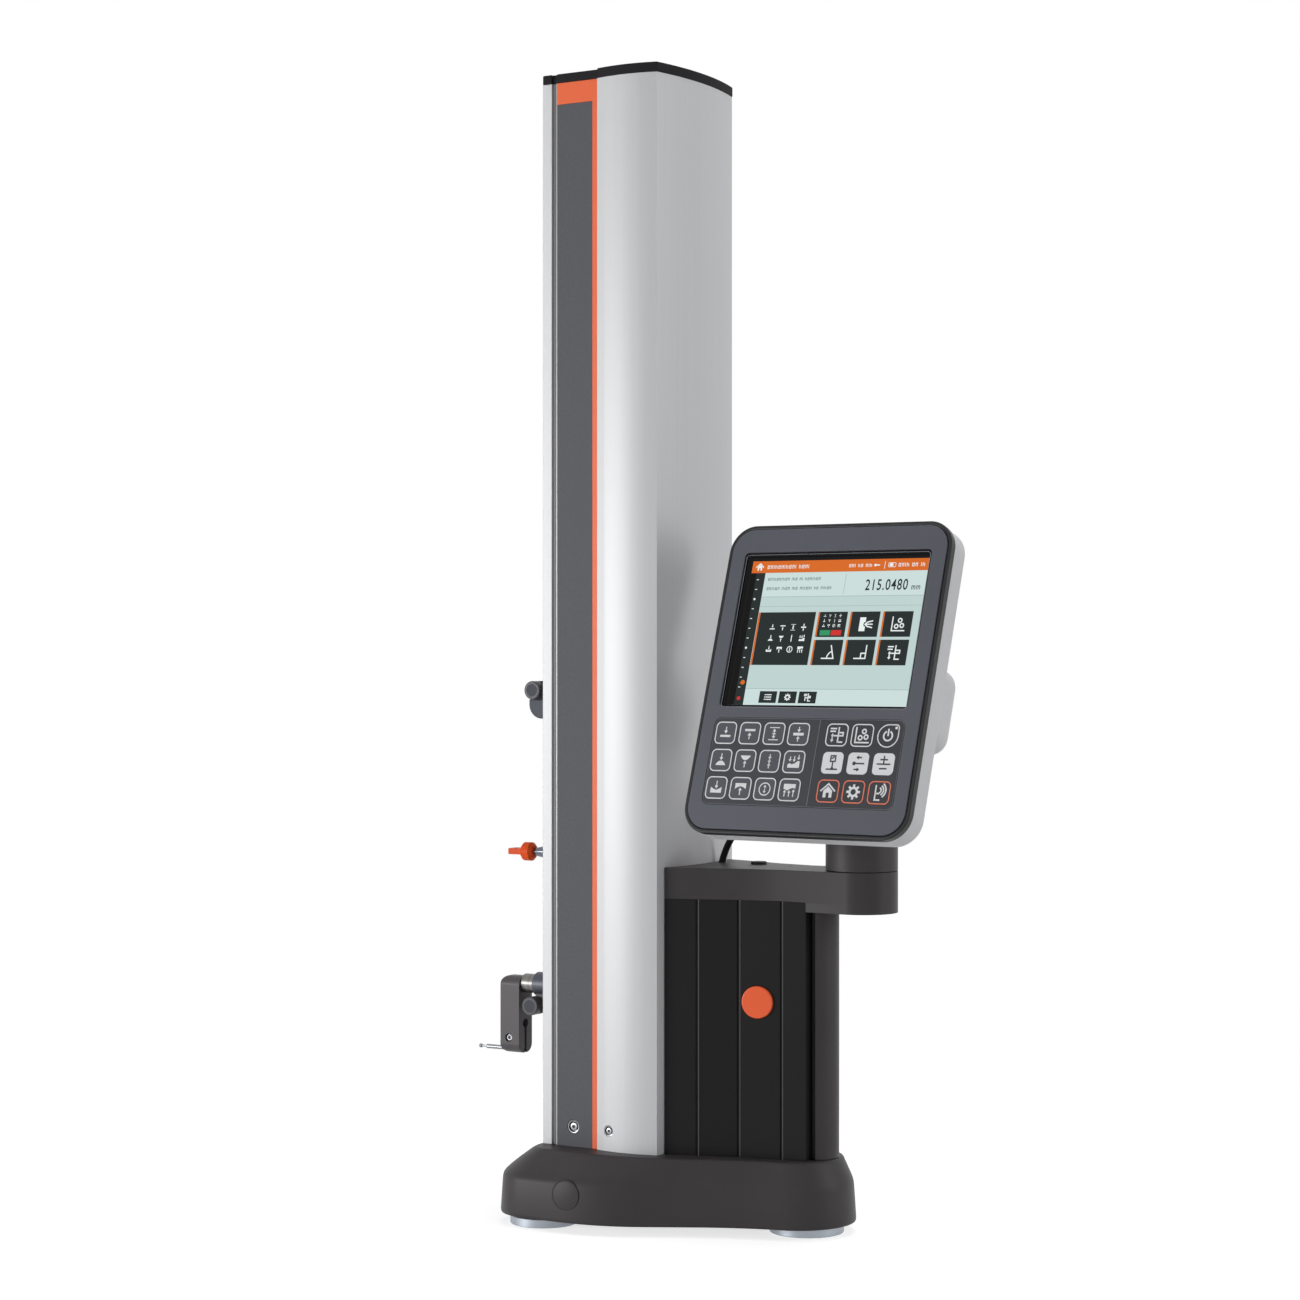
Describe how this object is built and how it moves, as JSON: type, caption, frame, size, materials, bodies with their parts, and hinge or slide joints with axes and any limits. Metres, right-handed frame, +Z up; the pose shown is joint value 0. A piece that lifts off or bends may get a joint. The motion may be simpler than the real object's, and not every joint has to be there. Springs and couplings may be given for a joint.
{
  "type": "column height gauge",
  "caption": "Upright measuring gauge: a probe on a motor-driven slider rides a column with an air-bearing base, a grip and a swivelling tilting display.",
  "frame": {"origin": "on the surface plate, below the middle of the object", "axes": "+X from the probe to the grip, -Y to the operator, +Z up"},
  "size_m": [0.5029, 0.2412, 1.0138],
  "materials": {
    "black_shell": "satin black-brown paint",
    "grip_plastic": "satin black-brown moulded plastic",
    "foot_metal": "lapped light metal",
    "silver_cover": "fine satin anodised",
    "light_frame": "fine satin anodised",
    "cap_black": "black satin",
    "dark_panel": "dark grey grained paint",
    "orange_trim": "orange satin paint",
    "orange_plastic": "orange moulded plastic",
    "bright_metal": "polished",
    "bright_steel": "turned and ground",
    "pale_plastic": "pale grey",
    "dark_holder": "dark grey satin coating",
    "black_plastic": "black",
    "rim_plastic": "near-black satin",
    "face_grey": "mid grey satin",
    "shell_grey": "light grey fine grain",
    "keypad_film": "printed film",
    "screen_glass": "clear",
    "screen_panel": "lit panel",
    "board_green": "printed circuit board",
    "cast_metal": "cast and ground",
    "frame_steel": "machined",
    "inner_alloy": "machined",
    "belt_rubber": "toothed belt",
    "cable_sheath": "black sheath"
  },
  "bodies": {
    "frame": {"base_cover": "black_shell", "base_plugs": "black_plastic", "base_casting": "cast_metal", "air_pads": "foot_metal", "air_pump": "inner_alloy", "battery_pack": "black_plastic", "front_frame": "light_frame", "bright_strips": "bright_metal", "side_panels": "dark_panel", "orange_trims": "orange_trim", "rear_cover": "silver_cover", "top_cap_front": "cap_black", "top_cap_rear": "cap_black", "column_screws": "bright_steel", "column_spine": "inner_alloy", "guide_rail": "frame_steel", "linear_scale": "frame_steel", "panel_brackets": "frame_steel", "drive_belt": "belt_rubber", "bearing_blocks": "frame_steel", "drive_motor": "inner_alloy", "grip_shell_left": "grip_plastic", "grip_shell_right": "grip_plastic", "grip_handle": "grip_plastic", "display_arm": "black_shell", "arm_socket": "black_plastic", "arm_screws": "bright_steel", "float_switch": "black_plastic", "button_spring": "frame_steel", "main_board": "board_green", "display_cable": "cable_sheath"},
    "slider": {"slider_plate": "frame_steel", "guide_blocks": "frame_steel", "read_head": "black_plastic", "belt_clamp": "inner_alloy", "shaft_hub": "bright_steel", "probe_shaft": "bright_steel", "slider_arms": "dark_holder", "upper_lug": "bright_steel", "lock_boss": "pale_plastic", "probe_holder": "dark_holder", "holder_screw": "bright_steel", "stylus": "bright_steel", "locating_pin": "bright_steel"},
    "clamp_knob": {"shaft_clamp_knob": "dark_holder"},
    "top_knob": {"upper_knob": "dark_holder"},
    "lock": {"lock_knob": "orange_plastic"},
    "weight": {"counterweight": "cast_metal"},
    "upper_wheel": {"top_pulley": "frame_steel"},
    "lower_wheel": {"drive_pulley": "frame_steel"},
    "button": {"float_button": "orange_plastic"},
    "swivel": {"swivel_post": "black_shell"},
    "display": {"display_rim": "rim_plastic", "face_plate": "face_grey", "keypad_sheet": "keypad_film", "touch_glass": "screen_glass", "lcd_module": "screen_panel", "display_board": "board_green", "display_shell": "shell_grey", "hinge_pin": "bright_steel"}
  },
  "joints": [
    {"name": "slider_slide", "type": "slide", "parent": "frame", "child": "slider", "axis": [0, 0, 1], "range_m": [-0.098, 0.502]},
    {"name": "counterweight_slide", "type": "slide", "parent": "frame", "child": "weight", "axis": [0, 0, 1], "range_m": [-0.502, 0.098]},
    {"name": "top_pulley_spin", "type": "hinge", "parent": "frame", "child": "upper_wheel", "pos_m": [-0.083, 0, 0.96], "axis": [0, 1, 0], "range_deg": [-226, 1152]},
    {"name": "drive_pulley_spin", "type": "hinge", "parent": "frame", "child": "lower_wheel", "pos_m": [-0.083, 0, 0.095], "axis": [0, 1, 0], "range_deg": [-226, 1152]},
    {"name": "shaft_clamp_turn", "type": "hinge", "parent": "slider", "child": "clamp_knob", "pos_m": [-0.1844, 0, 0.1788], "axis": [0, 1, 0], "range_deg": [-180, 180]},
    {"name": "upper_knob_turn", "type": "hinge", "parent": "slider", "child": "top_knob", "pos_m": [-0.182, 0, 0.4668], "axis": [0, 1, 0], "range_deg": [-180, 180]},
    {"name": "lock_turn", "type": "hinge", "parent": "slider", "child": "lock", "pos_m": [-0.19, 0, 0.3185], "axis": [1, 0, 0], "range_deg": [-90, 90]},
    {"name": "float_button_press", "type": "slide", "parent": "frame", "child": "button", "axis": [-0.1936, 0.9811, 0], "range_m": [0, 0.002], "stiffness_N_per_m": 1500, "springref_m": -0.001, "deforming": ["button_spring"]},
    {"name": "display_swivel", "type": "hinge", "parent": "frame", "child": "swivel", "pos_m": [0.1443, 0, 0.3145], "axis": [0, 0, 1], "range_deg": [-20, 90], "deforming": ["display_cable"]},
    {"name": "display_tilt", "type": "hinge", "parent": "swivel", "child": "display", "pos_m": [0.14209, -0.03611, 0.44147], "axis": [0.9981, -0.0611, 0], "range_deg": [-30, 15], "deforming": ["display_cable"]}
  ],
  "couplings": [
    {"joint": "counterweight_slide", "follows": "slider_slide", "ratio": -1},
    {"joint": "top_pulley_spin", "follows": "slider_slide", "rad_per_m": 39.92},
    {"joint": "drive_pulley_spin", "follows": "slider_slide", "rad_per_m": 39.92}
  ]
}
